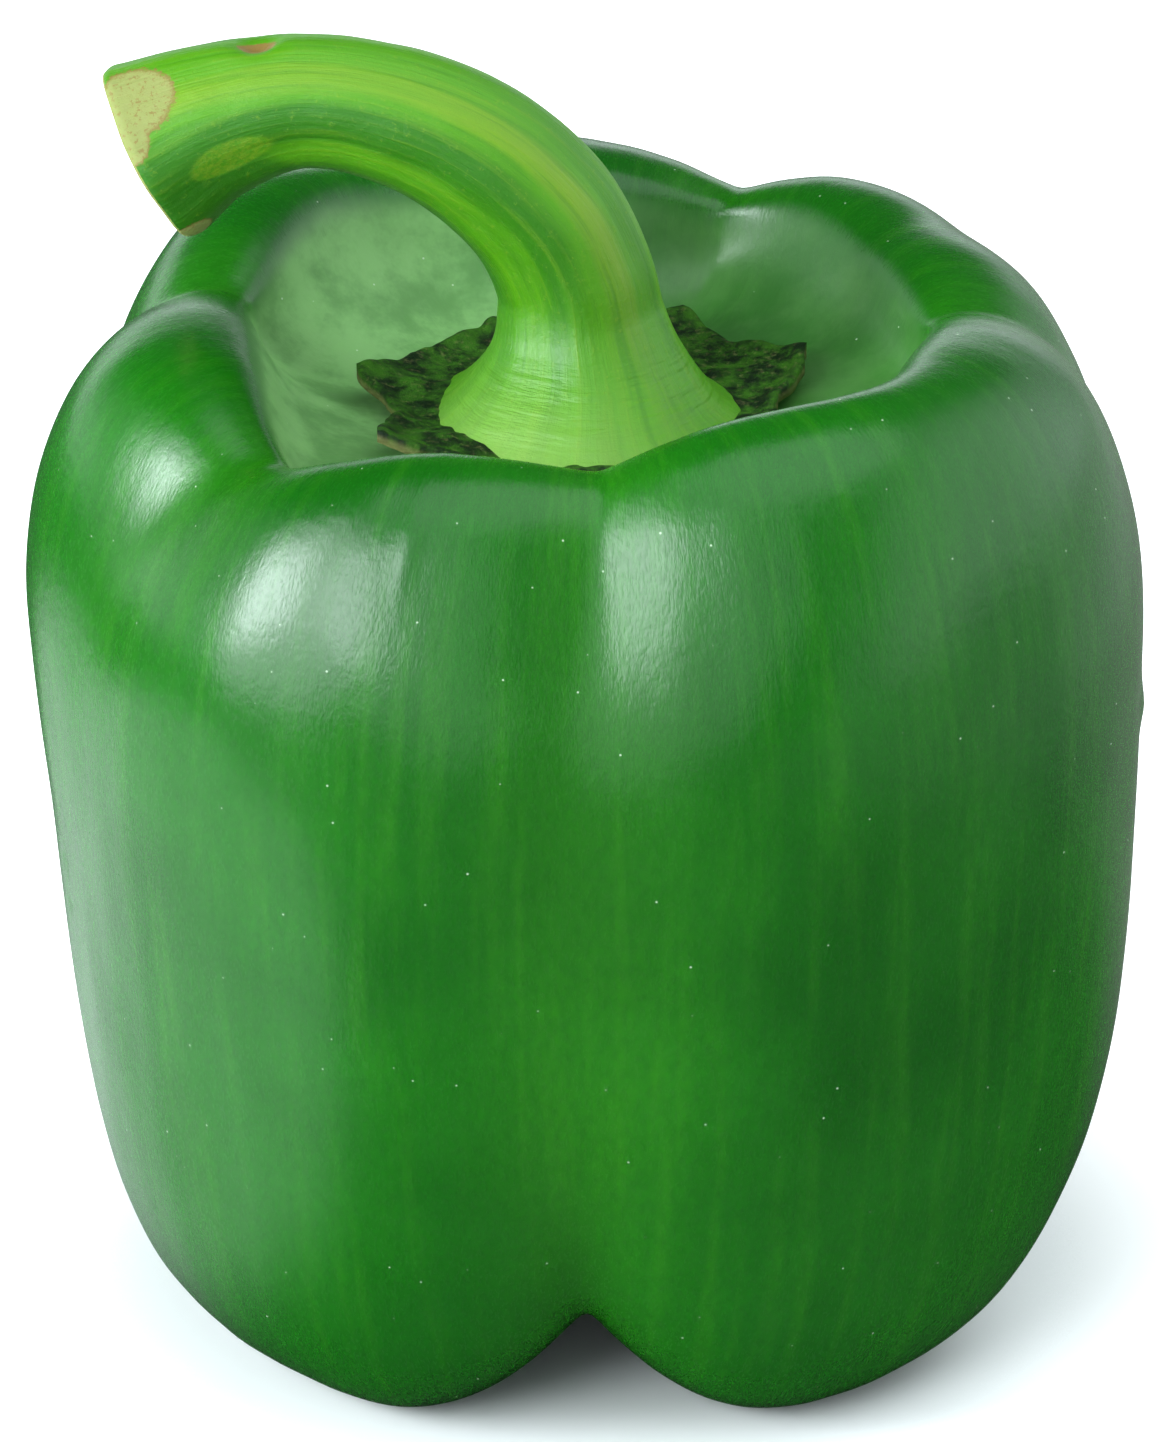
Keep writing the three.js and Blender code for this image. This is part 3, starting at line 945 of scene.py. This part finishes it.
def make_world():
    """A pale room that is brighter behind the fruit and at its sides, and dim elsewhere."""
    world = bpy.data.worlds.new("studio")
    bpy.context.scene.world = world
    world.use_nodes = True
    s = Nodes(world.node_tree)
    x, y, z = s.axes(s.node("ShaderNodeTexCoord").outputs["Generated"])
    back_left = s.math("SUBTRACT", y, s.times(x, 0.6))
    behind = s.ramp(back_left, 0.3, 1.0, 0, WORLD_BEHIND)
    behind = s.times(behind, s.ramp(z, 0.15, 0.38, 1, 0))
    right = s.ramp(x, 0.3, 0.9, 0, WORLD_RIGHT)
    left = s.ramp(x, -0.6, -0.95, 0, WORLD_LEFT)
    all_round = s.ramp(z, 0.0, 0.5, WORLD_LOW, WORLD_HIGH)
    sides = s.math("MAXIMUM", behind, s.math("ADD", left, right))
    background = world.node_tree.nodes["Background"]
    background.inputs["Color"].default_value = colour(*LAMP_TINT)
    s.link(s.math("MAXIMUM", sides, all_round), background.inputs["Strength"])


def make_light(name, azimuth, elevation, distance, diameter, power, reflected):
    """A round soft lamp; azimuth 0 is in front of the fruit and 90 is at its +X side."""
    lamp = bpy.data.lights.new(name, "AREA")
    lamp.shape = "DISK"
    lamp.size = diameter
    lamp.energy = power
    lamp.color = LAMP_TINT
    holder = in_scene(name, lamp)
    a, e = math.radians(azimuth), math.radians(elevation)
    away = Vector((math.sin(a) * math.cos(e), -math.cos(a) * math.cos(e), math.sin(e)))
    holder.location = LAMP_AIM + away * distance
    holder.rotation_euler = away.to_track_quat("Z", "Y").to_euler()
    holder.visible_glossy = reflected


def make_camera(shift):
    e = math.radians(CAMERA_ELEVATION)
    back = Vector((0, -math.cos(e), math.sin(e)))
    up = Vector((0, math.sin(e), math.cos(e)))
    fruit_middle = Vector((shift[0] * MM - CAMERA_LEFT_OF_FRUIT, shift[1] * MM, AIM_HEIGHT))
    data = bpy.data.cameras.new("camera")
    data.lens = CAMERA_LENS
    data.sensor_width = CAMERA_SENSOR
    data.clip_start = CAMERA_CLIP
    camera = in_scene("camera", data)
    camera.location = fruit_middle + up * CAMERA_HEIGHT_OVER_AIM + back * CAMERA_DISTANCE
    camera.rotation_euler = back.to_track_quat("Z", "Y").to_euler()
    bpy.context.scene.camera = camera


# ---- assembly ----

fruit, fruit_shift = make_fruit()
calyx = make_calyx(fruit_shift)
stem = make_stem(fruit_shift)

PIECES = [
    (fruit, "fruit", "fruit_skin", fruit_material()),
    (calyx, "calyx", "calyx", calyx_material()),
    (stem, "stem", "stem", stem_material()),
]
for piece, node_name, slot_name, material in PIECES:
    piece.data.materials.append(material)
    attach(piece, "root")
    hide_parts(node_name)

make_floor()
make_world()
for lamp_facts in LAMPS:
    make_light(*lamp_facts)
make_camera(fruit_shift)
bpy.context.scene.view_settings.view_transform = "Standard"
